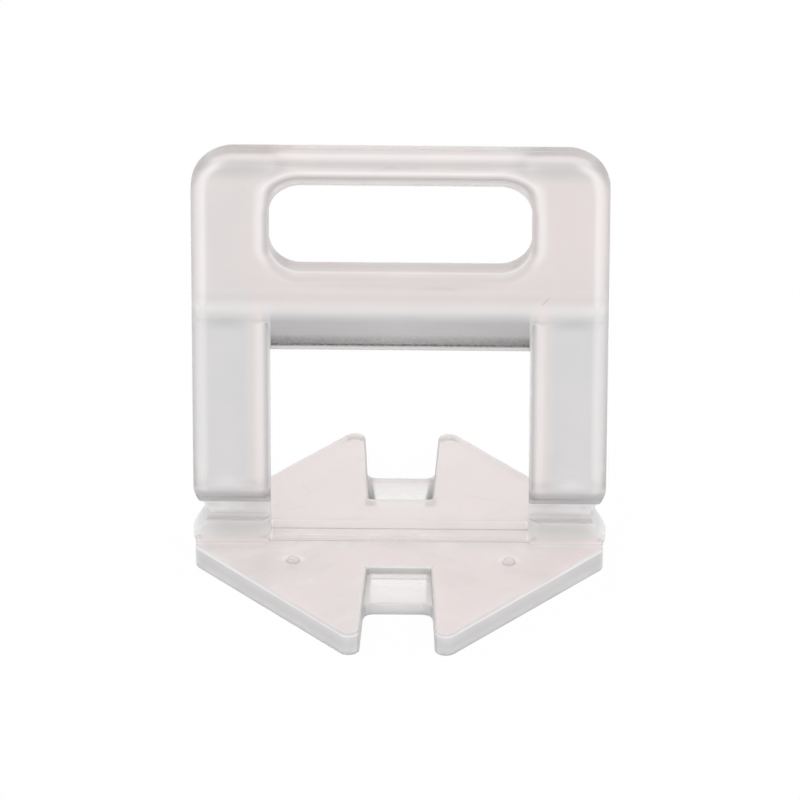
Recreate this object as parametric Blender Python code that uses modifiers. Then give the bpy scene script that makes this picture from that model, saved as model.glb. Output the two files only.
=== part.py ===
"""Tile levelling clip for 3 mm joints, moulded in one piece.

A hexagonal base plate lies in the adhesive under four tile edges. The two legs of a flat
upright rise from it through the joint, a wedge is driven through the window above the
tiles, and the necks at the foot of the legs snap off once the adhesive has set.

The origin is at the middle of the underside, X runs across the clip, Y through its
thickness and Z up. The clip is the same left and right of the YZ plane.
"""
import bpy
import bmesh
import math
from mathutils import Matrix, Vector

MM = 0.001

# Base plate
PLATE_WIDTH = 31.6 * MM
PLATE_DEPTH = 31.6 * MM
PLATE_THICKNESS = 1.8 * MM
PLATE_SIDE_FLAT = 4.9 * MM
PLATE_CORNER_RADIUS = 1.3 * MM
PLATE_TOP_EDGE_RADIUS = 0.25 * MM
TIP_RADIUS = 0.85 * MM

# Notches in the front and back of the plate, and the thin webs that floor them
NOTCH_ROOT_DISTANCE = 5.25 * MM
NOTCH_ROOT_WIDTH = 4.95 * MM
NOTCH_ROOT_RADIUS = 0.3 * MM
NOTCH_MOUTH_WIDTH = 5.75 * MM
WEB_THICKNESS = 1.0 * MM
WEB_REACH = 9.7 * MM
WEB_CORNER_FILLET = 0.8 * MM
WEB_LIFT = 0.05 * MM
WEB_KEY = 0.5 * MM

# Upright frame, and the heights of its parts from the plate up
UPRIGHT_WIDTH = 32.0 * MM
UPRIGHT_THICKNESS = 3.0 * MM
UPRIGHT_EDGE_RADIUS = 1.0 * MM
UPRIGHT_ROOTING = 0.9 * MM
SHOULDER_RADIUS = 3.3 * MM
WINDOW_HEIGHT = 16.2 * MM
BLADE_HEIGHT = 3.45 * MM
LOWER_BAR_HEIGHT = 3.75 * MM
SLOT_HEIGHT = 7.4 * MM
UPPER_BAR_HEIGHT = 2.7 * MM

# Finger slot through the head
SLOT_WIDTH = 20.1 * MM
SLOT_CORNER_RADIUS = 2.5 * MM

# Wedge window between the legs, closed above by a blade that the wedge bears on
WINDOW_WIDTH = 20.0 * MM
WINDOW_CORNER_RADIUS = 0.4 * MM
BLADE_TIP_WIDTH = 0.24 * MM
BLADE_ROOT_RADIUS = 3.3 * MM
BLADE_KEY = 1.2 * MM
BLADE_CAP = 0.9 * MM

# Break necks: a groove across the front and back of both legs, a vee on their outer sides
FOOT_HEIGHT = 1.9 * MM
NECK_HEIGHT = 1.1 * MM
NECK_THICKNESS = 1.0 * MM
NECK_CORNER_RADIUS = 0.15 * MM
HEEL_HEIGHT = 1.4 * MM
VEE_APEX_LIFT = 0.13 * MM
VEE_DEPTH = 1.23 * MM
VEE_RISE = 2.15 * MM
VEE_DROP = 1.75 * MM
VEE_APEX_RADIUS = 0.12 * MM
VEE_HEAD_RADIUS = 1.0 * MM
VEE_FOOT_RADIUS = 0.2 * MM

# Shallow sunk panels on the faces of the legs
PANEL_DEPTH = 0.18 * MM
PANEL_OUTER_MARGIN = 0.7 * MM
PANEL_INNER_MARGIN = 0.95 * MM
PANEL_OUTER_SLOPE = 0.45 * MM
PANEL_INNER_SLOPE = 1.1 * MM
PANEL_END_SLOPE = 0.6 * MM
PANEL_HEEL_MARGIN = 0.5 * MM
PANEL_HEAD_LAP = 0.35 * MM

# Low pad that joins the feet of the legs across the plate
PAD_HEIGHT = 0.28 * MM
PAD_EDGE_INSET = 0.06 * MM
PAD_EDGE_RADIUS = 0.15 * MM
PAD_KEY = 1.0 * MM

# Ejector pips on the front of the plate
PIP_SPACING = 17.0 * MM
PIP_DISTANCE = 4.6 * MM
PIP_DIAMETER = 1.0 * MM
PIP_HEIGHT = 0.25 * MM
PIP_EDGE_RADIUS = 0.12 * MM

# Fineness of the facets
ARC_STEP = math.radians(11.0)
EDGE_RINGS = 3
ROUND_PROFILE = 0.5
PIP_SIDES = 20
SHARP_ANGLE = math.radians(30.0)
QUARTER_TURN = math.radians(90.0)

# Reach of a cutter past the face that it opens, and of its run-out on a tangent face
CUTTER_OVERRUN = 1.5 * MM
RUN_OUT = 0.02 * MM
WELD = 0.0001 * MM
SEAM_WELD = 0.002 * MM

# Natural, undyed polypropylene
PLASTIC_COLOUR = (0.80, 0.76, 0.76, 1.0)
PLASTIC_ROUGHNESS = 0.38

COLLECTION_NAME = "tile_levelling_clip"
CUTTER_COLLECTION_NAME = "cutters"
NODE_NAME = "clip"

# Heights above the underside of the plate
PLATE_TOP = PLATE_THICKNESS
FOOT_TOP = PLATE_TOP + FOOT_HEIGHT
NECK_TOP = FOOT_TOP + NECK_HEIGHT
HEEL_TOP = NECK_TOP + HEEL_HEIGHT
BLADE_TIP = PLATE_TOP + WINDOW_HEIGHT
BLADE_ROOT = BLADE_TIP + BLADE_HEIGHT
SLOT_FLOOR = BLADE_ROOT + LOWER_BAR_HEIGHT
SLOT_CEILING = SLOT_FLOOR + SLOT_HEIGHT
UPRIGHT_TOP = SLOT_CEILING + UPPER_BAR_HEIGHT


def clear_file():
    for old in list(bpy.data.objects):
        bpy.data.objects.remove(old, do_unlink=True)
    for old in list(bpy.data.collections):
        bpy.data.collections.remove(old)


def new_collection(name):
    made = bpy.data.collections.new(name)
    bpy.context.scene.collection.children.link(made)
    return made


def unit(vector):
    return vector / vector.length


def turned(vector, angle):
    cosine = math.cos(angle)
    sine = math.sin(angle)
    return Vector((vector.x * cosine - vector.y * sine, vector.x * sine + vector.y * cosine))


def tangent_direction(point, centre, radius, side):
    """Direction from a point to where a line touches a circle, on its left (1) or right (-1)."""
    across = centre - point
    return turned(unit(across), side * math.asin(radius / across.length))


def crossing(point_a, direction_a, point_b, direction_b):
    """Point where two lines of the plane meet."""
    cross = direction_a.x * direction_b.y - direction_a.y * direction_b.x
    gap = point_b - point_a
    along = (gap.x * direction_b.y - gap.y * direction_b.x) / cross
    return point_a + along * direction_a


def rounded_outline(corners):
    """Closed outline through (point, radius) corners, each rounded by a tangent arc."""
    outline = []
    count = len(corners)
    for index in range(count):
        point, radius = corners[index]
        before = unit(corners[index - 1][0] - point)
        after = unit(corners[(index + 1) % count][0] - point)
        if radius <= 0.0:
            outline.append(point.copy())
            continue
        opening = before.angle(after)
        reach = radius / math.tan(opening / 2.0)
        centre = point + unit(before + after) * (radius / math.sin(opening / 2.0))
        first = point + before * reach - centre
        last = point + after * reach - centre
        sweep = first.angle_signed(last)
        steps = max(2, math.ceil(abs(sweep) / ARC_STEP))
        for step in range(steps + 1):
            outline.append(centre + turned(first, -sweep * step / steps))
    return outline


def mirrored_left(corners):
    """The corners of the right half, then their mirror images in reverse order."""
    left = [(Vector((-point.x, point.y)), radius) for point, radius in reversed(corners)]
    return corners + left


def flat_to_upright():
    """Turns the drawing plane so that its second axis points up and its depth along Y."""
    return Matrix.Rotation(QUARTER_TURN, 4, "X")


def flat_to_section():
    """Turns the drawing plane so that its axes are Y and Z and its depth lies along X."""
    return Matrix(((0, 0, 1, 0), (1, 0, 0, 0), (0, 1, 0, 0), (0, 0, 0, 1)))


def profile_solid(name, outlines, depth, edge_radius, placing, collection):
    """Solid pressed from closed outlines, the inner ones holes, its rims rounded."""
    curve = bpy.data.curves.new(name, "CURVE")
    curve.dimensions = "2D"
    curve.fill_mode = "BOTH"
    curve.extrude = depth / 2.0 - edge_radius
    curve.bevel_depth = edge_radius
    curve.bevel_resolution = EDGE_RINGS
    curve.offset = -edge_radius
    for outline in outlines:
        spline = curve.splines.new("POLY")
        spline.points.add(len(outline) - 1)
        for point, place in zip(spline.points, outline):
            point.co = (place.x, place.y, 0.0, 1.0)
        spline.use_cyclic_u = True
    drawn = bpy.data.objects.new(name + "_profile", curve)
    collection.objects.link(drawn)
    drawn.matrix_world = placing
    return meshed(drawn, name, collection)


def meshed(drawn, name, collection):
    """Mesh object with the shape of a curve object, which it replaces."""
    bpy.context.view_layer.update()
    evaluated = drawn.evaluated_get(bpy.context.evaluated_depsgraph_get())
    mesh = bpy.data.meshes.new_from_object(evaluated)
    made = bpy.data.objects.new(name, mesh)
    collection.objects.link(made)
    made.matrix_world = drawn.matrix_world.copy()
    bpy.data.objects.remove(drawn, do_unlink=True)
    work = bmesh.new()
    work.from_mesh(mesh)
    bmesh.ops.remove_doubles(work, verts=work.verts, dist=WELD)
    work.transform(made.matrix_world)
    made.matrix_world = Matrix.Identity(4)
    bmesh.ops.recalc_face_normals(work, faces=work.faces)
    work.to_mesh(mesh)
    work.free()
    return made


def plate_outline():
    """Hexagon with rounded corners, notched at the front and the back."""
    half_flat = PLATE_SIDE_FLAT / 2.0
    side = Vector((PLATE_WIDTH / 2.0, half_flat))
    root = Vector((NOTCH_ROOT_WIDTH / 2.0, NOTCH_ROOT_DISTANCE))
    tip_centre = Vector((NOTCH_MOUTH_WIDTH / 2.0 + TIP_RADIUS, PLATE_DEPTH / 2.0 - TIP_RADIUS))
    slant = tangent_direction(side, tip_centre, TIP_RADIUS, -1.0)
    wall = tangent_direction(root, tip_centre, TIP_RADIUS, 1.0)
    tip = crossing(side, slant, root, wall)
    back = [(side, PLATE_CORNER_RADIUS), (tip, TIP_RADIUS), (root, NOTCH_ROOT_RADIUS)]
    back = mirrored_left(back)
    front = [(-point, radius) for point, radius in back]
    return rounded_outline(back + front)


def make_plate(collection):
    lift = Matrix.Translation((0.0, 0.0, PLATE_THICKNESS / 2.0))
    made = profile_solid("plate", [plate_outline()], PLATE_THICKNESS, 0.0, lift, collection)
    round_top_rim(made, PLATE_TOP, PLATE_TOP_EDGE_RADIUS)
    return made


def round_top_rim(made, height, radius):
    """Rounds the edges between the top face and the walls below it."""
    work = bmesh.new()
    work.from_mesh(made.data)
    rim = []
    for edge in work.edges:
        level = all(abs(vertex.co.z - height) < RUN_OUT for vertex in edge.verts)
        if level and edge.calc_face_angle(0.0) > SHARP_ANGLE:
            rim.append(edge)
    bmesh.ops.bevel(
        work, geom=rim, offset=radius, offset_type="OFFSET", segments=EDGE_RINGS,
        profile=ROUND_PROFILE, affect="EDGES", clamp_overlap=False)
    work.to_mesh(made.data)
    work.free()


def notch_wall_x(distance):
    """Half width of a notch at a distance from the middle of the plate."""
    run = PLATE_DEPTH / 2.0 - NOTCH_ROOT_DISTANCE
    share = (distance - NOTCH_ROOT_DISTANCE) / run
    return (NOTCH_ROOT_WIDTH + (NOTCH_MOUTH_WIDTH - NOTCH_ROOT_WIDTH) * share) / 2.0


def make_web(name, side, collection):
    """Thin sheet across a notch, its free edge running out along the walls in fillets."""
    inner = NOTCH_ROOT_DISTANCE - WEB_KEY
    run_out = WEB_REACH + WEB_CORNER_FILLET
    wall = notch_wall_x(WEB_REACH)
    keyed = wall + WEB_KEY
    half = [
        (Vector((keyed, inner)), 0.0),
        (Vector((keyed, run_out)), 0.0),
        (Vector((wall + RUN_OUT, run_out)), 0.0),
        (Vector((wall + RUN_OUT, WEB_REACH)), WEB_CORNER_FILLET),
    ]
    corners = [(Vector((point.x, side * point.y)), radius) for point, radius in mirrored_left(half)]
    lift = Matrix.Translation((0.0, 0.0, WEB_LIFT + WEB_THICKNESS / 2.0))
    return profile_solid(name, [rounded_outline(corners)], WEB_THICKNESS, 0.0, lift, collection)


def make_frame(collection):
    """Upright with its head, finger slot and legs, all its rims rounded."""
    half_width = UPRIGHT_WIDTH / 2.0
    half_window = WINDOW_WIDTH / 2.0
    foot = PLATE_TOP - UPRIGHT_ROOTING
    half = [
        (Vector((half_window, BLADE_ROOT)), WINDOW_CORNER_RADIUS),
        (Vector((half_window, foot)), 0.0),
        (Vector((half_width, foot)), 0.0),
        (Vector((half_width, UPRIGHT_TOP)), SHOULDER_RADIUS),
    ]
    outer = rounded_outline(mirrored_left(half))
    slot_x = SLOT_WIDTH / 2.0
    slot_half = [
        (Vector((slot_x, SLOT_FLOOR)), SLOT_CORNER_RADIUS),
        (Vector((slot_x, SLOT_CEILING)), SLOT_CORNER_RADIUS),
    ]
    slot = rounded_outline(mirrored_left(slot_half))
    return profile_solid(
        "frame", [outer, slot], UPRIGHT_THICKNESS, UPRIGHT_EDGE_RADIUS, flat_to_upright(), collection)


def make_blade(collection):
    """Tapered lower edge of the head, the same front and back."""
    face = UPRIGHT_THICKNESS / 2.0
    cap = BLADE_ROOT + UPRIGHT_EDGE_RADIUS + BLADE_CAP
    half = [
        (Vector((BLADE_TIP_WIDTH / 2.0, BLADE_TIP)), 0.0),
        (Vector((face, BLADE_ROOT)), BLADE_ROOT_RADIUS),
        (Vector((face, cap)), 0.0),
    ]
    section = rounded_outline(mirrored_left(half))
    length = WINDOW_WIDTH + 2.0 * BLADE_KEY
    return profile_solid("blade", [section], length, 0.0, flat_to_section(), collection)


def make_pad(collection):
    """Low raised strip between the feet of the legs."""
    half_width = UPRIGHT_THICKNESS / 2.0 - PAD_EDGE_INSET
    length = WINDOW_WIDTH + 2.0 * PAD_KEY
    height = PAD_HEIGHT + UPRIGHT_ROOTING
    made = box("pad", Vector((length, 2.0 * half_width, height)), collection)
    made.location = (0.0, 0.0, PLATE_TOP + PAD_HEIGHT - height / 2.0)
    rounding = made.modifiers.new("rounded rim", "BEVEL")
    rounding.width = PAD_EDGE_RADIUS
    rounding.segments = EDGE_RINGS
    return made


def box(name, size, collection):
    work = bmesh.new()
    bmesh.ops.create_cube(work, size=1.0, matrix=Matrix.Diagonal((size.x, size.y, size.z, 1.0)))
    return from_work(work, name, collection)


def from_work(work, name, collection):
    mesh = bpy.data.meshes.new(name)
    work.to_mesh(mesh)
    work.free()
    made = bpy.data.objects.new(name, mesh)
    collection.objects.link(made)
    return made


def make_pip(name, side, collection):
    """Small round mark that an ejector pin leaves."""
    work = bmesh.new()
    radius = PIP_DIAMETER / 2.0
    height = PIP_HEIGHT + UPRIGHT_ROOTING
    bmesh.ops.create_cone(
        work, cap_ends=True, segments=PIP_SIDES, radius1=radius, radius2=radius, depth=height)
    made = from_work(work, name, collection)
    made.location = (side * PIP_SPACING / 2.0, -PIP_DISTANCE, PLATE_TOP + PIP_HEIGHT - height / 2.0)
    rounding = made.modifiers.new("rounded rim", "BEVEL")
    rounding.width = PIP_EDGE_RADIUS
    rounding.segments = EDGE_RINGS
    return made


def make_groove_cutter(name, side, cutters):
    """Groove across both legs: flat foot, neck wall and the rounded heel of the leg above."""
    face = UPRIGHT_THICKNESS / 2.0
    neck = NECK_THICKNESS / 2.0
    outside = face + CUTTER_OVERRUN
    section = rounded_outline([
        (Vector((outside, HEEL_TOP)), 0.0),
        (Vector((outside, FOOT_TOP)), 0.0),
        (Vector((neck, FOOT_TOP)), NECK_CORNER_RADIUS),
        (Vector((neck, NECK_TOP)), 0.0),
    ])
    depth = face - neck + RUN_OUT
    steps = math.ceil(QUARTER_TURN / ARC_STEP)
    for step in range(1, steps + 1):
        angle = QUARTER_TURN * (1.0 - step / steps)
        section.append(Vector((neck + depth * math.cos(angle), HEEL_TOP - HEEL_HEIGHT * math.sin(angle))))
    section = [Vector((side * point.x, point.y)) for point in section]
    length = UPRIGHT_WIDTH + 2.0 * CUTTER_OVERRUN
    return profile_solid(name, [section], length, 0.0, flat_to_section(), cutters)


def make_vee_cutter(name, side, cutters):
    """Vee into the outer side of a leg, with rounded shoulders."""
    edge = UPRIGHT_WIDTH / 2.0 + RUN_OUT
    outside = edge + CUTTER_OVERRUN
    apex = UPRIGHT_WIDTH / 2.0 - VEE_DEPTH
    apex_height = FOOT_TOP + VEE_APEX_LIFT
    head = apex_height + VEE_RISE
    foot = apex_height - VEE_DROP
    corners = [
        (Vector((outside, head + VEE_HEAD_RADIUS)), 0.0),
        (Vector((edge, head + VEE_HEAD_RADIUS)), 0.0),
        (Vector((edge, head)), VEE_HEAD_RADIUS),
        (Vector((apex, apex_height)), VEE_APEX_RADIUS),
        (Vector((edge, foot)), VEE_FOOT_RADIUS),
        (Vector((edge, foot - VEE_FOOT_RADIUS)), 0.0),
        (Vector((outside, foot - VEE_FOOT_RADIUS)), 0.0),
    ]
    outline = [Vector((side * point.x, point.y)) for point in rounded_outline(corners)]
    depth = UPRIGHT_THICKNESS + 2.0 * CUTTER_OVERRUN
    return profile_solid(name, [outline], depth, 0.0, flat_to_upright(), cutters)


def make_panel_cutter(name, side, face_side, cutters):
    """Frustum that sinks a sloped panel into one face of one leg."""
    inner = WINDOW_WIDTH / 2.0 + PANEL_INNER_MARGIN
    outer = UPRIGHT_WIDTH / 2.0 - PANEL_OUTER_MARGIN
    low = HEEL_TOP + PANEL_HEEL_MARGIN
    high = BLADE_ROOT + PANEL_HEAD_LAP
    face = UPRIGHT_THICKNESS / 2.0
    grow = CUTTER_OVERRUN / PANEL_DEPTH
    rim = (
        inner - grow * PANEL_INNER_SLOPE, outer + grow * PANEL_OUTER_SLOPE,
        low - grow * PANEL_END_SLOPE, high + grow * PANEL_END_SLOPE, face + CUTTER_OVERRUN)
    floor = (
        inner + PANEL_INNER_SLOPE, outer - PANEL_OUTER_SLOPE,
        low + PANEL_END_SLOPE, high - PANEL_END_SLOPE, face - PANEL_DEPTH)
    work = bmesh.new()
    loops = []
    for left, right, bottom, top, depth in (floor, rim):
        places = ((left, bottom), (right, bottom), (right, top), (left, top))
        loops.append([work.verts.new((side * x, face_side * depth, z)) for x, z in places])
    bridge = list(zip(loops[0], loops[0][1:] + loops[0][:1], loops[1][1:] + loops[1][:1], loops[1]))
    for corners in bridge:
        work.faces.new(corners)
    work.faces.new(loops[0])
    work.faces.new(loops[1])
    bmesh.ops.recalc_face_normals(work, faces=work.faces)
    return from_work(work, name, cutters)


def combine(body, other, operation):
    modifier = body.modifiers.new(operation.lower() + " " + other.name, "BOOLEAN")
    modifier.operation = operation
    modifier.solver = "EXACT"
    modifier.object = other


def hide_cutter(cutter):
    cutter.hide_render = True
    cutter.display_type = "WIRE"


def natural_polypropylene():
    material = bpy.data.materials.new("natural_polypropylene")
    material.use_nodes = True
    shader = material.node_tree.nodes["Principled BSDF"]
    shader.inputs["Base Color"].default_value = PLASTIC_COLOUR
    shader.inputs["Roughness"].default_value = PLASTIC_ROUGHNESS
    shader.inputs["Metallic"].default_value = 0.0
    return material


def main():
    clear_file()
    collection = new_collection(COLLECTION_NAME)
    cutters = new_collection(CUTTER_COLLECTION_NAME)

    clip = make_frame(collection)
    clip.name = NODE_NAME
    clip.data.name = NODE_NAME

    tools = []
    for side in (1.0, -1.0):
        for face_side in (1.0, -1.0):
            label = "panel_%d_%d" % (side, face_side)
            tools.append((make_panel_cutter(label, side, face_side, cutters), "DIFFERENCE"))
    tools.append((make_blade(cutters), "UNION"))
    for side in (1.0, -1.0):
        tools.append((make_groove_cutter("groove_%d" % side, side, cutters), "DIFFERENCE"))
        tools.append((make_vee_cutter("vee_%d" % side, side, cutters), "DIFFERENCE"))
    tools.append((make_plate(cutters), "UNION"))
    tools.append((make_pad(cutters), "UNION"))
    for side in (1.0, -1.0):
        tools.append((make_web("web_%d" % side, side, cutters), "UNION"))
        tools.append((make_pip("pip_%d" % side, side, cutters), "UNION"))
    for tool, operation in tools:
        combine(clip, tool, operation)
        hide_cutter(tool)
    seams = clip.modifiers.new("welded seams", "WELD")
    seams.merge_threshold = SEAM_WELD

    clip.data.materials.append(natural_polypropylene())
    for polygon in clip.data.polygons:
        polygon.use_smooth = True
    clip.data.set_sharp_from_angle(angle=SHARP_ANGLE)


main()
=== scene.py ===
import math

import bmesh
import bpy
from mathutils import Matrix, Vector


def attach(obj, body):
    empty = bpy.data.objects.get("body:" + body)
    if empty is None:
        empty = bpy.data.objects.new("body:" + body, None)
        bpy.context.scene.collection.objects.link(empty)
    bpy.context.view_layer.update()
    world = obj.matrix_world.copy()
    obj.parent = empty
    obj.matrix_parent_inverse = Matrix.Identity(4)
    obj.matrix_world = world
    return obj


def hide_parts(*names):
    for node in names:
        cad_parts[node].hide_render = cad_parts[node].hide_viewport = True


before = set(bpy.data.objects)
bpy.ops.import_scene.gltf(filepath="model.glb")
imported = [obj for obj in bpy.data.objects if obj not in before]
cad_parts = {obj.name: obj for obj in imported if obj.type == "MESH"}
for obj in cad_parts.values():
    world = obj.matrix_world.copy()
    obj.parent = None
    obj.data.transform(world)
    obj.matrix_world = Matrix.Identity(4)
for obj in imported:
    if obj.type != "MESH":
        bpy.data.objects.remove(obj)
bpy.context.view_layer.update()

# The clip's sizes, all in metres
MM = 0.001
HALF_WIDTH = 16.0 * MM
HALF_THICKNESS = 1.5 * MM
LEG_INSIDE = 10.0 * MM
SHOULDER = 3.3 * MM
PLATE_TOP = 1.8 * MM
FOOT_TOP = 3.7 * MM
NECK_HALF = 0.5 * MM
HEEL_TOP = 6.2 * MM
BLADE_TIP = 18.0 * MM
BLADE_ROOT = 21.45 * MM
SLOT_FLOOR = 25.2 * MM
SLOT_CEILING = 32.6 * MM
SLOT_HALF_WIDTH = 10.05 * MM
SLOT_CORNER = 2.5 * MM
UPRIGHT_TOP = 35.3 * MM
RIM = 1.0 * MM
PAD_HEIGHT = 0.28 * MM
PIP_HEIGHT = 0.25 * MM
PIP_RADIUS = 0.5 * MM

# How deep a piece is rooted in its neighbour, how far a cutting tool stands out,
# and how near two places are to count as one
ROOTING = 0.9 * MM
PAST = 1.5 * MM
TOOL_REACH = 3.0 * MM
NEAR = 0.001 * MM

# Places of the ejector pips, in millimetres: across, the shift to the right, and along
PIP_ACROSS = 8.35
PIP_SHIFT = 0.15
PIP_ALONG = -4.6

# Faint scratches on the plate: middle across and along, turn in radians and half length in millimetres
PLATE_SCRATCHES = (
    (-8.2, 3.6, 0.5, 1.2), (-7.4, 6.6, -1.1, 0.9), (6.2, 5.4, -0.35, 1.4),
    (7.6, 3.1, 0.4, 1.1), (-6.6, -4.0, 0.9, 0.8))

# Colours of the plastic, and of the painted light, the painted shade and the few real marks laid on it
GREY = (0.712, 0.705, 0.708, 1.0)
PALE_GREY = (0.755, 0.745, 0.745, 1.0)
ROSE = (0.825, 0.730, 0.722, 1.0)
WARM_GREY = (0.785, 0.760, 0.755, 1.0)
NEARLY_WHITE = (1.0, 0.985, 0.98, 1.0)
NEARLY_BLACK = (0.06, 0.06, 0.06, 1.0)
WHITE = (1.0, 1.0, 1.0, 1.0)
PLASTIC_IOR = 1.49


# Modelling by hand

def nothing_selected():
    if bpy.context.mode != "OBJECT":
        bpy.ops.object.mode_set(mode="OBJECT")
    bpy.ops.object.select_all(action="DESELECT")


def take(piece):
    nothing_selected()
    piece.select_set(True)
    bpy.context.view_layer.objects.active = piece


def open_mesh(piece):
    take(piece)
    bpy.ops.object.mode_set(mode="EDIT")


def close_mesh():
    bpy.ops.object.mode_set(mode="OBJECT")


def pick(piece, kind, test):
    """Selects only the corners, edges or faces of the open mesh that pass a test."""
    bpy.ops.mesh.select_mode(type=kind)
    bpy.ops.mesh.select_all(action="DESELECT")
    work = bmesh.from_edit_mesh(piece.data)
    parts = {"VERT": work.verts, "EDGE": work.edges, "FACE": work.faces}[kind]
    chosen = [part for part in parts if test(part)]
    for part in chosen:
        part.select_set(True)
    work.select_flush_mode()
    bmesh.update_edit_mesh(piece.data)


def block(name, low, high):
    """Square block between two opposite corners."""
    nothing_selected()
    low = Vector(low)
    high = Vector(high)
    bpy.ops.mesh.primitive_cube_add(size=1.0, location=(low + high) / 2.0, scale=high - low)
    piece = bpy.context.active_object
    piece.name = name
    bpy.ops.object.transform_apply(location=True, rotation=True, scale=True)
    return piece


def laid(plane, across, along, depth):
    """Point of a drawing seen from the front, from the side or from above."""
    if plane == "front":
        return Vector((across, depth, along))
    if plane == "side":
        return Vector((depth, across, along))
    return Vector((across, along, depth))


def rounded(corners, steps):
    """Outline through the corners, each rounded by an arc that touches both of its sides."""
    outline = []
    for index, (across, along, radius) in enumerate(corners):
        point = Vector((across, along))
        if radius <= 0.0:
            outline.append(point)
            continue
        before = (Vector(corners[index - 1][:2]) - point).normalized()
        after = (Vector(corners[(index + 1) % len(corners)][:2]) - point).normalized()
        half = before.angle(after) / 2.0
        centre = point + (before + after).normalized() * (radius / math.sin(half))
        reach = radius / math.tan(half)
        first = point + before * reach - centre
        sweep = first.angle_signed(point + after * reach - centre)
        for step in range(steps + 1):
            outline.append(centre + Matrix.Rotation(-sweep * step / steps, 2) @ first)
    return outline


def pressed(name, plane, start, end, corners, steps=10):
    """Solid pressed from a flat outline of (across, along, corner radius), from start to end."""
    outline = rounded(corners, steps)
    nothing_selected()
    bpy.ops.mesh.primitive_circle_add(vertices=len(outline), radius=RIM, fill_type="NGON")
    piece = bpy.context.active_object
    piece.name = name
    for vertex, (across, along) in zip(piece.data.vertices, outline):
        vertex.co = laid(plane, across, along, start)
    open_mesh(piece)
    bpy.ops.mesh.select_all(action="SELECT")
    bpy.ops.mesh.extrude_region_move(
        TRANSFORM_OT_translate={"value": laid(plane, 0.0, 0.0, end - start)})
    bpy.ops.mesh.select_all(action="SELECT")
    bpy.ops.mesh.normals_make_consistent(inside=False)
    close_mesh()
    return piece


def both_halves(corners):
    """Outline of the right half, completed by its mirror image."""
    return corners + [(-across, along, radius) for across, along, radius in reversed(corners)]


def round_edges(piece, radius, steps, test):
    """Rounds the edges of a solid that pass a test."""
    open_mesh(piece)
    pick(piece, "EDGE", test)
    bpy.ops.mesh.bevel(offset_type="OFFSET", offset=radius, segments=steps, profile=0.5,
                       affect="EDGES", clamp_overlap=False, loop_slide=False)
    close_mesh()


def sharp(edge):
    return len(edge.link_faces) == 2 and edge.calc_face_angle(0.0) > math.radians(30.0)


def at_height(edge, height):
    return all(abs(corner.co.z - height) < NEAR for corner in edge.verts)


def worked(piece, tool, operation):
    """Cuts a tool out of the piece or joins it on, and puts the tool away."""
    step = piece.modifiers.new(tool.name, "BOOLEAN")
    step.operation = operation
    step.solver = "EXACT"
    step.object = tool
    take(piece)
    bpy.ops.object.modifier_apply(modifier=step.name)
    bpy.data.objects.remove(tool, do_unlink=True)


def cut(piece, tool):
    worked(piece, tool, "DIFFERENCE")


def join(piece, tool):
    worked(piece, tool, "UNION")


# The pieces of the moulding

def upright():
    """Head and legs in one sheet, with the finger slot, all rims well rounded."""
    foot = PLATE_TOP - ROOTING
    piece = pressed("upright", "front", -HALF_THICKNESS, HALF_THICKNESS, both_halves([
        (LEG_INSIDE, BLADE_ROOT, 0.4 * MM),
        (LEG_INSIDE, foot, 0.0),
        (HALF_WIDTH, foot, 0.0),
        (HALF_WIDTH, UPRIGHT_TOP, SHOULDER)]), 14)
    cut(piece, pressed("slot", "front", -TOOL_REACH, TOOL_REACH, both_halves([
        (SLOT_HALF_WIDTH, SLOT_FLOOR, SLOT_CORNER),
        (SLOT_HALF_WIDTH, SLOT_CEILING, SLOT_CORNER)]), 14))
    round_edges(piece, RIM, 7, lambda edge: sharp(edge) and all(
        abs(abs(corner.co.y) - HALF_THICKNESS) < NEAR for corner in edge.verts))
    return piece


def leg_panel(side, face):
    """Tool for the shallow panel sunk in one face of a leg."""
    floor_y = face * 1.32 * MM
    rim_y = face * HALF_THICKNESS
    low = (12.05 * MM, 7.3 * MM)
    high = (14.85 * MM, 21.2 * MM)
    middle = Vector((side * (low[0] + high[0]) / 2.0, rim_y, (low[1] + high[1]) / 2.0))
    tool = pressed("panel", "front", floor_y, rim_y, [
        (side * low[0], low[1], 0.0), (side * high[0], low[1], 0.0),
        (side * high[0], high[1], 0.0), (side * low[0], high[1], 0.0)])
    open_mesh(tool)
    pick(tool, "FACE", lambda part: abs(part.calc_center_median().y - rim_y) < NEAR)
    # The panel widens from its floor to its rim, more towards the inner side
    bpy.ops.transform.resize(value=(4.35 / 2.8, 1.0, 15.1 / 13.9), center_override=middle)
    bpy.ops.transform.translate(value=(side * -0.325 * MM, 0.0, 0.0))
    bpy.ops.mesh.extrude_region_move(TRANSFORM_OT_translate={"value": (0.0, face * PAST, 0.0)})
    close_mesh()
    round_edges(tool, 0.3 * MM, 4, lambda edge: all(
        abs(corner.co.y - floor_y) < NEAR for corner in edge.verts))
    return tool


def blade():
    """Tapered lower edge of the head, on which the wedge bears."""
    cap = BLADE_ROOT + RIM + ROOTING
    return pressed("blade", "side", -11.2 * MM, 11.2 * MM, both_halves([
        (0.12 * MM, BLADE_TIP, 0.0),
        (HALF_THICKNESS, BLADE_ROOT, 3.3 * MM),
        (HALF_THICKNESS, cap, 0.0)]), 8)


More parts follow.
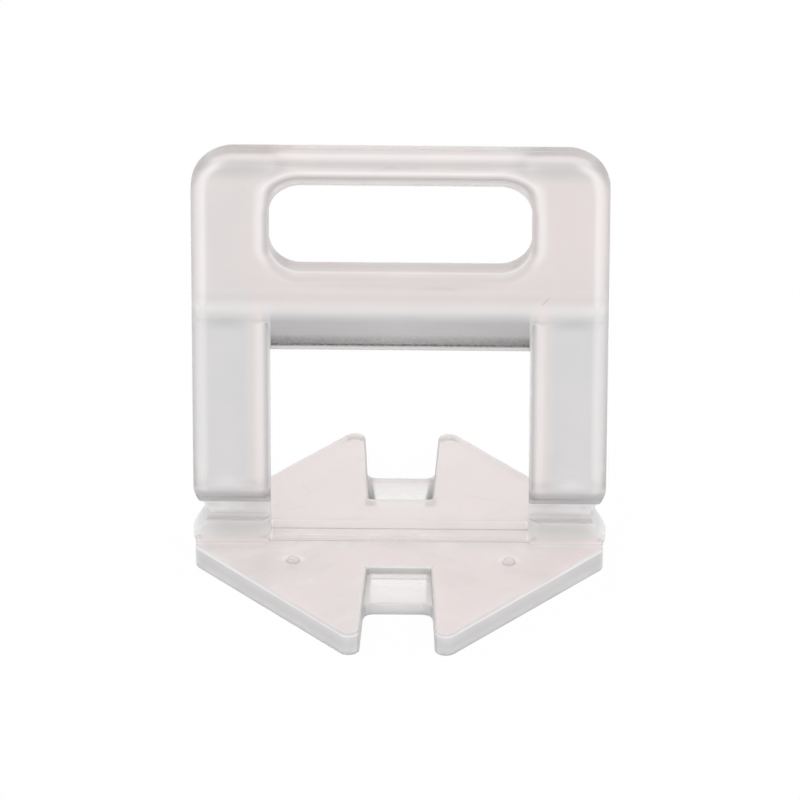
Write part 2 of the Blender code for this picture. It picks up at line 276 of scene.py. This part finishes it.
def neck_groove(side):
    """Tool for the groove across both legs, with the rounded heel above it."""
    low_y, high_y = sorted((side * NECK_HALF, side * TOOL_REACH))
    tool = block("groove", (-17.5 * MM, low_y, FOOT_TOP), (17.5 * MM, high_y, HEEL_TOP))
    round_edges(tool, 0.15 * MM, 4, lambda edge: at_height(edge, FOOT_TOP) and all(
        abs(corner.co.y - side * NECK_HALF) < NEAR for corner in edge.verts))
    nothing_selected()
    bpy.ops.mesh.primitive_cylinder_add(
        vertices=64, radius=RIM, depth=40.0 * MM, rotation=(0.0, math.radians(90.0), 0.0))
    heel = bpy.context.active_object
    bpy.ops.object.transform_apply(location=True, rotation=True, scale=True)
    heel.scale = (1.0, 1.02, 1.4)
    heel.location = (0.0, side * NECK_HALF, HEEL_TOP)
    bpy.ops.object.transform_apply(location=True, rotation=True, scale=True)
    cut(tool, heel)
    return tool


def side_vee(side):
    """Tool for the vee into the outer side of a neck."""
    edge = HALF_WIDTH + 0.02 * MM
    apex = 3.83 * MM
    corners = [
        (edge + PAST, apex + 3.15 * MM, 0.0), (edge, apex + 3.15 * MM, 0.0),
        (edge, apex + 2.15 * MM, 1.0 * MM), (HALF_WIDTH - 1.23 * MM, apex, 0.11 * MM),
        (edge, apex - 1.75 * MM, 0.2 * MM), (edge, apex - 1.95 * MM, 0.0),
        (edge + PAST, apex - 1.95 * MM, 0.0)]
    corners = [(side * across, along, radius) for across, along, radius in corners]
    return pressed("vee", "front", -TOOL_REACH, TOOL_REACH, corners, 8)


def base_plate():
    """Hexagonal plate with pointed ends, each split by a notch."""
    back = both_halves([
        (15.8 * MM, 2.45 * MM, 1.3 * MM),
        (2.963 * MM, 17.109 * MM, 0.85 * MM),
        (2.475 * MM, 5.25 * MM, 0.3 * MM)])
    front = [(-across, -along, radius) for across, along, radius in back]
    piece = pressed("plate", "top", 0.0, PLATE_TOP, back + front, 10)
    round_edges(piece, 0.25 * MM, 4, lambda edge: sharp(edge) and at_height(edge, PLATE_TOP))
    round_edges(piece, 0.05 * MM, 2, lambda edge: sharp(edge) and at_height(edge, 0.0))
    return piece


def web(side):
    """Thin sheet across the root of a notch, rounded into its walls."""
    half = [
        (3.144 * MM, 4.75 * MM, 0.0), (3.144 * MM, 10.5 * MM, 0.0),
        (2.664 * MM, 10.5 * MM, 0.0), (2.664 * MM, 9.7 * MM, 0.8 * MM)]
    corners = [(across, side * along, radius) for across, along, radius in both_halves(half)]
    return pressed("web", "top", 0.05 * MM, 1.05 * MM, corners, 8)


def pad():
    """Low strip that joins the feet of the legs across the plate."""
    top = PLATE_TOP + PAD_HEIGHT
    piece = block("pad", (-11.0 * MM, -1.44 * MM, PLATE_TOP - ROOTING), (11.0 * MM, 1.44 * MM, top))
    round_edges(piece, 0.26 * MM, 4, lambda edge: at_height(edge, top))
    return piece


def foot_fillet(side, face):
    """Small fillet between a foot and the top of the plate."""
    start, end = sorted((side * 10.15 * MM, side * 15.70 * MM))
    corners = [
        (1.40 * MM, 2.15 * MM, 0.0), (HALF_THICKNESS, 2.15 * MM, 0.0),
        (HALF_THICKNESS, PLATE_TOP, 0.33 * MM), (1.85 * MM, PLATE_TOP, 0.0),
        (1.85 * MM, 1.70 * MM, 0.0), (1.40 * MM, 1.70 * MM, 0.0)]
    corners = [(face * across, along, radius) for across, along, radius in corners]
    return pressed("fillet", "side", start, end, corners, 5)


def ejector_pip(side):
    """Small round mark of an ejector pin."""
    top = PLATE_TOP + PIP_HEIGHT
    nothing_selected()
    bpy.ops.mesh.primitive_cylinder_add(
        vertices=32, radius=PIP_RADIUS, depth=1.0 * MM,
        location=((side * PIP_ACROSS + PIP_SHIFT) * MM, PIP_ALONG * MM, top - 0.5 * MM))
    piece = bpy.context.active_object
    bpy.ops.object.transform_apply(location=True, rotation=True, scale=True)
    round_edges(piece, 0.12 * MM, 3, lambda edge: sharp(edge) and at_height(edge, top))
    return piece


def moulded_clip():
    piece = upright()
    for side in (1.0, -1.0):
        for face in (1.0, -1.0):
            cut(piece, leg_panel(side, face))
    join(piece, blade())
    for side in (1.0, -1.0):
        cut(piece, neck_groove(side))
        cut(piece, side_vee(side))
    join(piece, base_plate())
    join(piece, pad())
    for side in (1.0, -1.0):
        for face in (1.0, -1.0):
            join(piece, foot_fillet(side, face))
    for side in (1.0, -1.0):
        join(piece, web(side))
        join(piece, ejector_pip(side))
    open_mesh(piece)
    bpy.ops.mesh.select_all(action="SELECT")
    bpy.ops.mesh.remove_doubles(threshold=0.002 * MM)
    bpy.ops.mesh.normals_make_consistent(inside=False)
    close_mesh()
    bpy.ops.object.shade_smooth_by_angle(angle=math.radians(28.0))
    even = piece.modifiers.new("even shading", "WEIGHTED_NORMAL")
    even.mode = "FACE_AREA"
    even.weight = 50
    even.keep_sharp = True
    bpy.ops.object.modifier_apply(modifier=even.name)
    piece.name = "moulded_clip"
    piece.data.name = "moulded_clip"
    return piece


# Shader maths

class Value:
    """A number that the shader works out, for use in plain expressions."""

    def __init__(self, nodes, socket):
        self.nodes = nodes
        self.socket = socket

    def maths(self, operation, *others):
        return self.nodes.add("ShaderNodeMath", {"operation": operation}, dict(enumerate((self,) + others)))

    def __add__(self, other):
        return self.maths("ADD", other)

    def __radd__(self, other):
        return self.maths("ADD", other)

    def __sub__(self, other):
        return self.maths("SUBTRACT", other)

    def __rsub__(self, other):
        return self.maths("MULTIPLY", -1.0).maths("ADD", other)

    def __mul__(self, other):
        return self.maths("MULTIPLY", other)

    def __rmul__(self, other):
        return self.maths("MULTIPLY", other)

    def __abs__(self):
        return self.maths("ABSOLUTE")

    def root(self):
        return self.maths("SQRT")

    def least(self, other):
        return self.maths("MINIMUM", other)

    def most(self, other):
        return self.maths("MAXIMUM", other)

    def step(self, start, end):
        """0 before start, 1 after end and smooth between."""
        return self.nodes.add(
            "ShaderNodeMapRange", {"interpolation_type": "SMOOTHSTEP"},
            {"Value": self, "From Min": start, "From Max": end, "To Min": 0.0, "To Max": 1.0}, "Result")

    def ridge(self, start, top, end):
        """1 at the top, falling smoothly to 0 at start and at end."""
        return self.step(start, top) * (1.0 - self.step(top, end))


class Nodes:
    """Node tree of one material or of the studio."""

    def __init__(self, owner):
        owner.use_nodes = True
        self.tree = owner.node_tree
        self.tree.nodes.clear()

    def add(self, kind, settings=None, sockets=None, output=0):
        """Adds a node with its settings, its sockets' values or links, and returns one output."""
        node = self.tree.nodes.new(kind)
        for name, setting in (settings or {}).items():
            setattr(node, name, setting)
        for name, entry in (sockets or {}).items():
            if isinstance(entry, Value):
                self.tree.links.new(entry.socket, node.inputs[name])
            else:
                node.inputs[name].default_value = entry
        return Value(self, node.outputs[output]) if node.outputs else None

    def parts(self, vector):
        """The three numbers of a vector."""
        return [self.add("ShaderNodeSeparateXYZ", {}, {0: vector}, axis) for axis in "XYZ"]

    def blend(self, share, first, second):
        """Colour between two colours, by the Mix node's colour sockets."""
        return self.add("ShaderNodeMix", {"data_type": "RGBA"}, {0: share, 6: first, 7: second}, 2)

    def finish(self, shader, kind="ShaderNodeOutputMaterial"):
        self.add(kind, {}, {"Surface": shader})


def outside(across, along, half_across, half_along, radius):
    """Distance outside a rectangle with rounded corners, negative within it."""
    over = abs(across) - (half_across - radius)
    up = abs(along) - (half_along - radius)
    corner = (over.most(0.0) * over.most(0.0) + up.most(0.0) * up.most(0.0)).root()
    return corner + over.most(up).least(0.0) - radius


def scratch(across, along, way, half, width):
    """Short straight line through the middle, turned by an angle, that fades at its ends."""
    lengthwise = across * math.cos(way) + along * math.sin(way)
    sideways = across * math.sin(way) - along * math.cos(way)
    return (1.0 - abs(sideways).step(width * 0.3, width)) * (1.0 - abs(lengthwise).step(half * 0.6, half))


class Skin:
    """Places on the clip in millimetres, its slopes and noises, and how much painted shade and painted light
    lies on each place.
    """

    def __init__(self, nodes):
        self.nodes = nodes
        self.dark = None
        self.light = None
        self.place = nodes.add("ShaderNodeTexCoord", output="Object")
        self.x, self.y, self.z = (part * 1000.0 for part in nodes.parts(self.place))
        self.nx, self.ny, self.nz = nodes.parts(nodes.add("ShaderNodeTexCoord", output="Normal"))
        x, y, z = self.x, self.y, self.z

        self.cloud = self.noise(self.place, 260.0, 3.0, 0.55)
        self.patch = self.noise(self.place, 90.0, 2.0)
        self.speck = self.noise(self.place, 4200.0, 2.0)
        drawn = nodes.add("ShaderNodeMapping", {}, {"Vector": self.place, "Scale": (0.25, 1.0, 1.0)})
        # Blotchy noise that shapes the painted shade under the slot and over it
        self.blotchy_shade = self.noise(drawn, 600.0, 2.0).step(0.48, 0.64)
        flow = nodes.add("ShaderNodeCombineXYZ", {}, {
            "X": (abs(x) * 0.8 - y * 0.6) * 0.16,
            "Y": (abs(x) * 0.6 + y * 0.8) * 0.36,
            "Z": (x + z) * 0.07})
        self.streak = self.noise(flow, 1.0, 3.0, 0.6)

        # Parts of the clip, 1 on the part and 0 elsewhere
        self.upper = z.step(5.9, 6.4)
        self.below = 1.0 - self.upper
        self.upward = self.nz.step(0.08, 0.45)
        self.head = z.step(21.5, 23.0)
        self.corners = z.ridge(33.0, 34.6, 35.3) * abs(x).step(6.0, 12.0)
        self.hanging = (1.0 - abs(x).step(9.9, 10.0)) * z.step(14.0, 16.0) * (1.0 - z.step(21.8, 22.2))
        self.low = 1.0 - z.step(2.1, 2.2)
        self.top = self.low * self.nz.step(0.6, 0.95)

        # Distances into the plastic from the outer rim, the slot and the inner side of a leg
        slot_middle = (SLOT_FLOOR + SLOT_CEILING) / 2.0 / MM
        slot_half_height = (SLOT_CEILING - SLOT_FLOOR) / 2.0 / MM
        self.rim = 0.0 - outside(x, z + 14.7, HALF_WIDTH / MM, 50.0, SHOULDER / MM)
        self.slot = outside(x, z - slot_middle, SLOT_HALF_WIDTH / MM, slot_half_height, SLOT_CORNER / MM)
        self.leg_side = self.hanging * 20.0 + abs(x) - LEG_INSIDE / MM + z.step(20.9, 21.9) * 20.0

    def noise(self, place, scale, detail, roughness=0.5):
        return self.nodes.add("ShaderNodeTexNoise", {}, {
            "Vector": place, "Scale": scale, "Detail": detail, "Roughness": roughness}, "Fac")

    def darken(self, share):
        self.dark = self.dark.most(share) if self.dark else share

    def lighten(self, share):
        self.light = self.light.most(share) if self.light else share

    def plain_colour(self):
        """Rosy on the plate and in patches on the head, plain grey on the sunk panels and the blade."""
        x, y, z = self.x, self.y, self.z
        patchy = (0.60 + self.patch.step(0.35, 0.60) * 0.40).most(y.step(0.5, 3.0) * 1.15)
        on_plate = self.top * patchy * (0.65 + abs(y).step(1.6, 3.2) * 0.35)
        on_head = self.head * (0.25 + self.patch.step(0.35, 0.65) * 0.45)
        rosy = on_plate.most(on_head)
        rosy = rosy.most(abs(x).ridge(9.9, 10.9, 12.0) * self.upper * 0.6)
        rosy = rosy.most(self.low * z.step(1.80, 1.84) * 0.9)
        # Less rosy under the painted shade at the top corners of the head
        rosy = rosy * (1.0 - self.corners * 0.9)
        # Painted light: the head is drawn paler than the legs
        colour = self.nodes.blend(self.head * 0.6, GREY, PALE_GREY)
        colour = self.nodes.blend(rosy, colour, ROSE)
        return self.nodes.blend(self.cloud.step(0.30, 0.75) * 0.30, colour, WARM_GREY)

    def rims(self):
        """Painted shade as a dark outline and a painted highlight as a light line inside it, drawn on their own
        where a rim faces up.
        """
        x, y, z = self.x, self.y, self.z
        rim, slot, leg_side, upward = self.rim, self.slot, self.leg_side, self.upward
        raised = self.upper * upward
        # From above, the painted lines lie nearer the edge where a rim faces up, and farther where it faces
        # down
        rim_line = rim + z.step(32.3, 34.0) * 0.36 + z.step(34.2, 35.2) * 0.48
        slot_line = slot - z.step(30.6, 33.3) * 0.74 + (1.0 - z.step(24.6, 27.2)) * 0.68
        inner = slot_line.least(leg_side)
        ceiling = z.step(31.8, 33.0)

        # Painted shade along the rims, the slot and the legs' inner sides, and at the top corners of the head
        strength = 0.28 - z.step(34.4, 35.1) * 0.12
        self.darken(self.upper * (1.0 - rim.step(0.05, 0.50)) * strength * (1.0 - self.nz.step(0.60, 0.95)))
        start = ceiling.most(1.0 - z.step(20.8, 21.6)) * 0.27 - 0.20
        outline = inner.ridge(start, 0.24, 0.58) * (0.25 + ceiling * 0.05)
        self.darken(self.upper * outline * (1.0 - upward))
        self.darken(raised * (1.0 - rim.step(0.0, 0.03)) * 0.08)
        self.darken(raised * rim_line.ridge(0.94, 1.22, 1.94) * 0.22)
        self.darken(raised * slot.ridge(0.04, 0.36, 0.9) * 0.16)
        slot_floor = raised * (1.0 - z.step(25.3, 25.6)) * (1.0 - slot.step(0.0, 0.05))
        self.darken(slot_floor * y.step(-0.9, 0.4) * 0.07)
        self.darken(self.corners * rim_line.step(0.95, 1.30) * 0.21)
        self.darken(z.ridge(34.0, 34.80, 35.15) * (1.0 - abs(x).step(6.0, 12.0)) * 0.22)

        # Painted highlights along the rims, around the slot and on the legs' inner sides
        glint = 0.30 + self.head * 0.20
        past = (rim_line + z.step(33.3, 35.1) * 0.22).step(0.90, 1.35)
        self.lighten(rim_line.step(0.35, 0.90) * (1.0 - past) * glint)
        self.light = self.light * (1.0 - upward * (1.0 - rim.step(0.0, 0.09)))
        slot_corner = z.step(24.0, 26.0) * (1.0 - z.step(25.0, 27.5))
        self.lighten(inner.ridge(0.42, 0.72, 1.40) * (1.0 - slot_corner) * glint)
        self.lighten(slot_line.ridge(0.46, 0.72, 1.05) * z.step(31.5, 32.8) * 0.75)
        self.lighten(slot.ridge(0.36, 0.58, 0.76) * ceiling * 0.55)
        self.lighten(upward * slot.ridge(0.0, 0.06, 0.18) * 0.75)
        self.light = self.light * self.upper
        self.lighten((1.0 - leg_side.step(0.05, 0.14)) * z.step(20.6, 18.8) * z.step(6.6, 7.6) * 0.4)

    def head_bands(self):
        """A faint band of painted shade and a band of painted light across the head, with blotchy painted shade
        under the slot and over it.
        """
        x, z = self.x, self.z
        self.darken(z.ridge(22.75, 23.30, 24.00) * 0.06)
        under_slot = z.step(22.5, 24.0) * (1.0 - z.step(25.15, 25.3)) * (1.0 - abs(x).step(4.0, 11.0))
        self.darken(self.slot.ridge(0.15, 0.6, 1.5) * under_slot * (0.10 + self.blotchy_shade * 0.22))
        over_slot = z.ridge(34.1, 34.6, 35.0) * (1.0 - abs(x).step(4.0, 10.0))
        self.darken(over_slot * (0.06 + self.blotchy_shade * 0.20))
        self.lighten(z.ridge(21.5, 22.3, 23.0) * 0.36)
        on_front = self.y.step(-1.40, -1.45)
        self.darken(scratch(x - 11.15, z - 23.1, 0.846, 0.48, 0.07) * on_front * 0.30)

    def blade(self):
        """Painted shade on the slope of the blade, darker towards the sides, and darkest and speckled along its
        edge.
        """
        z, hanging = self.z, self.hanging
        sideways = abs(self.x)
        slope = hanging * z.step(18.25, 18.45)
        self.darken(z.step(22.0, 20.9) * slope * (0.225 + sideways * 0.009))
        self.darken(z.step(20.6, 18.7) * slope * (0.43 + sideways * 0.018 + self.speck.step(0.36, 0.62) * 0.10))
        self.darken(z.ridge(18.90, 18.56, 18.30) * hanging * (0.80 + self.speck.step(0.40, 0.62) * 0.20))
        self.darken(z.step(18.40, 18.25) * hanging * 0.12)

    def leg_panels(self):
        """The sunk panels have painted shade at the top and painted light at the bottom."""
        z = self.z
        panel = abs(self.x).ridge(10.8, 13.3, 16.0) * self.upper
        self.darken(panel * z.ridge(20.1, 21.1, 21.7) * 0.17)
        # Painted shade in a thin band across the legs under the blade root
        self.darken((1.0 - self.hanging) * self.upper * z.ridge(20.9, 21.25, 21.5) * 0.09)
        self.lighten(panel * z.ridge(6.2, 6.9, 7.7) * 0.5)

    def necks(self):
        """Painted shade under the heel, in the groove and high on the foot; painted light on the thin neck, at
        the bottom of the foot and on the plate beside the foot.
        """
        x, y, z = self.x, self.y, self.z
        self.darken(self.below * z.step(4.7, 5.1) * abs(y).step(0.55, 0.75) * 0.31)
        self.neck = self.below * z.ridge(3.4, 4.2, 5.2) * (1.0 - abs(y).step(0.6, 0.9))
        self.lighten(self.neck)
        self.darken(self.below * z.ridge(3.40, 3.70, 3.90) * abs(y).ridge(0.75, 1.35, 1.80) * 0.30)
        self.foot = self.below * z.step(1.80, 1.83) * (1.0 - z.step(3.45, 3.65)) * abs(x).step(9.8, 9.9)
        self.darken(self.foot * z.step(2.6, 3.3) * 0.07)
        self.lighten(self.foot * (0.13 + (1.0 - z.step(2.2, 3.0)) * 0.27))
        self.lighten(self.top * abs(x).step(10.2, 10.8) * abs(y).ridge(1.5, 1.85, 2.5) * 0.30)

    def pad(self):
        """The pad carries the parting line of the mould, and its edge is soft."""
        x, y, z = self.x, self.y, self.z
        self.darken(self.low * z.step(1.9, 2.0) * (1.0 - abs(y + 0.02).step(0.03, 0.14)) * 0.30)
        turned = 1.0 - self.nz.step(0.90, 0.995)
        self.soft_edge = self.low * z.step(1.805, 1.84) * turned * (1.0 - abs(x).step(9.8, 10.0))
        # Painted highlight along the front edge of the pad
        self.lighten(self.low * y.ridge(-1.56, -1.46, -1.38) * 0.25)

    def plate(self):
        """Painted shade on the walls, which have much plastic behind them, on the notch walls, towards the
        pointed ends and on the far rim; painted light low on the walls, on the back half of the top, and on the
        rounded rim only along the front.
        """
        x, y, z = self.x, self.y, self.z
        self.wall = (1.0 - z.step(1.75, 1.85)) * (1.0 - abs(self.nz).step(0.25, 0.9))
        self.darken(self.wall * z.step(0.2, 1.0) * 0.10)
        self.lighten(self.wall * (1.0 - z.step(0.2, 0.8)) * 0.30)
        self.darken(self.top * abs(y).step(12.5, 16.5) * 0.06)
        self.lighten(self.top * y.step(-0.5, 3.0) * 0.16)
        self.darken(self.wall * abs(self.nx).step(0.6, 0.9) * (1.0 - abs(x).step(2.95, 3.20)) * 0.34)
        turned = (1.0 - self.nz.step(0.90, 0.995)) * self.nz.step(0.05, 0.3)
        turning = z.step(1.50, 1.58) * (1.0 - z.step(1.801, 1.81)) * turned
        self.far_edge = turning * self.ny.step(-0.06, 0.12)
        self.darken(self.far_edge * 0.58)
        self.lighten(turning * (1.0 - self.ny.step(-0.40, -0.10)) * 0.70)

    def pips(self):
        """Each ejector pip has a dark ring, and a patch of painted light behind it."""
        across = abs(self.x - PIP_SHIFT) - PIP_ACROSS
        along = self.y - PIP_ALONG
        reach = (across * across + along * along).root()
        self.darken(self.low * (1.0 - reach.step(0.45, 0.60)) * (0.07 + reach.step(0.10, 0.35) * 0.08))
        self.lighten(self.top * reach.ridge(0.50, 0.72, 1.20) * along.step(-0.3, 0.4) * 0.5)

    def streaks(self):
        """Faint flow streaks and scratches on the plate."""
        self.darken(self.top * self.streak.step(0.52, 0.68) * 0.045)
        self.lighten(self.top * self.streak.step(0.48, 0.32) * 0.20)
        for middle_x, middle_y, way, half in PLATE_SCRATCHES:
            line = scratch(self.x - middle_x, self.y - middle_y, way, half, 0.16)
            self.darken(line * self.top * 0.05)

    def webs(self):
        """The webs across the notches are thin and clear, painted light all over, with painted shade where they
        meet the walls.
        """
        x, y, z = self.x, self.y, self.z
        narrow = 1.0 - abs(x).step(2.70, 2.80)
        self.thin = (1.0 - z.step(1.10, 1.20)) * narrow * abs(y).ridge(5.15, 5.40, 12.0)
        self.lighten(self.thin)
        self.dark = self.dark * (1.0 - self.thin)
        back = y.step(0.0, 1.0)
        past = abs(x) - (1.35 + y * 0.095) * back - (1.0 - back) * 2.15
        self.verge = past.step(-0.15, 0.15) * self.thin
        self.darken(self.verge * (0.36 + back * 0.46))

    def clearness(self):
        """Share of clear plastic: most in the webs, least in walls, feet, edges and necks."""
        flat_web = self.thin * abs(self.nz).step(0.3, 0.8) * (1.0 - self.verge)
        share = 0.5 + flat_web * 0.46 - self.wall * 0.35 - self.foot * 0.38
        share = share - self.soft_edge * 0.30 - self.far_edge * 0.48
        return share - self.neck * abs(self.x).ridge(11.0, 13.6, 14.8) * 0.35


def natural_polypropylene():
    """Translucent plastic, with painted shade where the eye looks along the sheet and painted light where it is
    thin.
    """
    material = bpy.data.materials.new("natural_polypropylene")
    nodes = Nodes(material)
    skin = Skin(nodes)
    colour = skin.plain_colour()
    skin.rims()
    skin.head_bands()
    skin.blade()
    skin.leg_panels()
    skin.necks()
    skin.pad()
    skin.plate()
    skin.pips()
    skin.streaks()
    skin.webs()
    # Painted light and painted shade laid on the plain colour, together with the plate's flow streaks,
    # scratches, pip rings and parting line
    colour = nodes.blend(skin.light, colour, NEARLY_WHITE)
    colour = nodes.blend(skin.dark, colour, NEARLY_BLACK)

    # Fine grain and slow swell of the moulded face, and the raised parting line along the edges
    grain = skin.noise(skin.place, 2400.0, 4.0, 0.6)
    swell = skin.noise(skin.place, 320.0, 1.0)
    parting = 1.0 - abs(skin.y).step(0.02, 0.09)
    height = grain * 0.004 + swell * 0.03 + parting * 0.04
    rounded_edge = nodes.add("ShaderNodeBevel", {"samples": 6}, {"Radius": 0.14 * MM}, "Normal")
    bump = nodes.add("ShaderNodeBump", {}, {
        "Strength": 1.0, "Distance": 1.0 * MM, "Height": height, "Normal": rounded_edge}, "Normal")

    dull = skin.far_edge + skin.soft_edge
    cloudy = nodes.add("ShaderNodeBsdfPrincipled", {"subsurface_method": "RANDOM_WALK"}, {
        "Base Color": colour, "Roughness": 0.36 + skin.cloud * 0.10 + dull * 0.50,
        "Normal": bump, "IOR": PLASTIC_IOR, "Subsurface Weight": 1.0,
        "Subsurface Radius": (1.0, 0.95, 0.92), "Subsurface Scale": 2.0 * MM}, "BSDF")
    clear = nodes.add("ShaderNodeBsdfPrincipled", {}, {
        "Base Color": colour, "Roughness": 0.22 + skin.cloud * 0.06 + dull * 0.60,
        "Normal": bump, "IOR": PLASTIC_IOR, "Transmission Weight": 1.0}, "BSDF")
    # From inside, every face is clear, so that light can leave the plastic
    inside = nodes.add("ShaderNodeNewGeometry", output="Backfacing")
    nodes.finish(nodes.add("ShaderNodeMixShader", {}, {0: inside.most(skin.clearness()), 1: cloudy, 2: clear}))
    return material


def pale_floor():
    """Pale paper that runs out to white behind the clip and keeps its soft shadow."""
    material = bpy.data.materials.new("pale_paper")
    nodes = Nodes(material)
    seen = nodes.add("ShaderNodeLightPath", output="Is Camera Ray")
    mirrored = nodes.add("ShaderNodeLightPath", output="Is Glossy Ray")
    through = nodes.add("ShaderNodeLightPath", output="Is Transmission Ray")
    paper = nodes.add("ShaderNodeBsdfDiffuse", {}, {"Color": (0.86, 0.86, 0.86, 1.0)}, "BSDF")
    glow = nodes.add("ShaderNodeEmission", {}, {"Color": WHITE, "Strength": 1.0}, "Emission")
    share = seen.most(mirrored).most(through) * 0.97
    nodes.finish(nodes.add("ShaderNodeMixShader", {}, {0: share, 1: paper, 2: glow}))
    return material


def floor():
    nothing_selected()
    bpy.ops.mesh.primitive_grid_add(x_subdivisions=4, y_subdivisions=4, size=1.6, location=(0.0, 0.0, -0.00002))
    piece = bpy.context.active_object
    piece.name = "floor"
    bpy.ops.object.transform_apply(location=True, rotation=True, scale=True)
    piece.data.materials.append(pale_floor())


def soft_lamp(name, place, size, power, aim):
    nothing_selected()
    bpy.ops.object.light_add(type="AREA", location=place)
    lamp = bpy.context.active_object
    lamp.name = name
    lamp.data.shape = "RECTANGLE"
    lamp.data.size = size[0]
    lamp.data.size_y = size[1]
    lamp.data.energy = power
    way = Vector(aim) - Vector(place)
    lamp.rotation_euler = way.to_track_quat("-Z", "Y").to_euler()


def surroundings():
    """Even white room, at full white for the camera and through the plastic."""
    world = bpy.data.worlds.new("studio")
    bpy.context.scene.world = world
    nodes = Nodes(world)
    room = nodes.add("ShaderNodeBackground", {}, {"Color": WHITE, "Strength": 0.95})
    white = nodes.add("ShaderNodeBackground", {}, {"Color": WHITE, "Strength": 1.0})
    seen = nodes.add("ShaderNodeLightPath", output="Is Camera Ray")
    through = nodes.add("ShaderNodeLightPath", output="Is Transmission Ray")
    mixed = nodes.add("ShaderNodeMixShader", {}, {0: seen.most(through), 1: room, 2: white})
    nodes.finish(mixed, "ShaderNodeOutputWorld")


def place_camera():
    elevation = math.radians(29.17)
    azimuth = math.radians(0.65)
    roll = math.radians(0.16)
    aim_elevation = math.radians(30.0)
    distance = 0.708
    target = Vector((0.0, 0.0, PLATE_TOP))
    toward = Vector((math.sin(azimuth) * math.cos(aim_elevation),
                     -math.cos(azimuth) * math.cos(aim_elevation), math.sin(aim_elevation)))
    back = Vector((math.sin(azimuth) * math.cos(elevation),
                   -math.cos(azimuth) * math.cos(elevation), math.sin(elevation)))
    right = Vector((math.cos(azimuth), math.sin(azimuth), 0.0))
    up = back.cross(right)
    turned_right = right * math.cos(roll) + up * math.sin(roll)
    turned_up = up * math.cos(roll) - right * math.sin(roll)
    data = bpy.data.cameras.new("photo_camera")
    data.sensor_width = 36.0
    data.lens = 409.5
    data.clip_start = 0.05
    data.clip_end = 10.0
    camera = bpy.data.objects.new("photo_camera", data)
    bpy.context.scene.collection.objects.link(camera)
    turn = Matrix((turned_right, turned_up, back)).transposed().to_4x4()
    camera.matrix_world = Matrix.Translation(target + toward * distance) @ turn
    bpy.context.scene.camera = camera


place_camera()
clip = moulded_clip()
clip.data.materials.clear()
clip.data.materials.append(natural_polypropylene())
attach(clip, "root")
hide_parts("clip")
floor()
soft_lamp("overhead_softbox", (0.0, -0.15, 0.9), (0.9, 0.7), 1.5, (0.0, 0.0, 0.02))
soft_lamp("front_softbox", (0.0, -1.2, 0.5), (1.2, 0.8), 0.3, (0.0, 0.0, 0.02))
surroundings()

bpy.context.scene.view_settings.view_transform = "Standard"
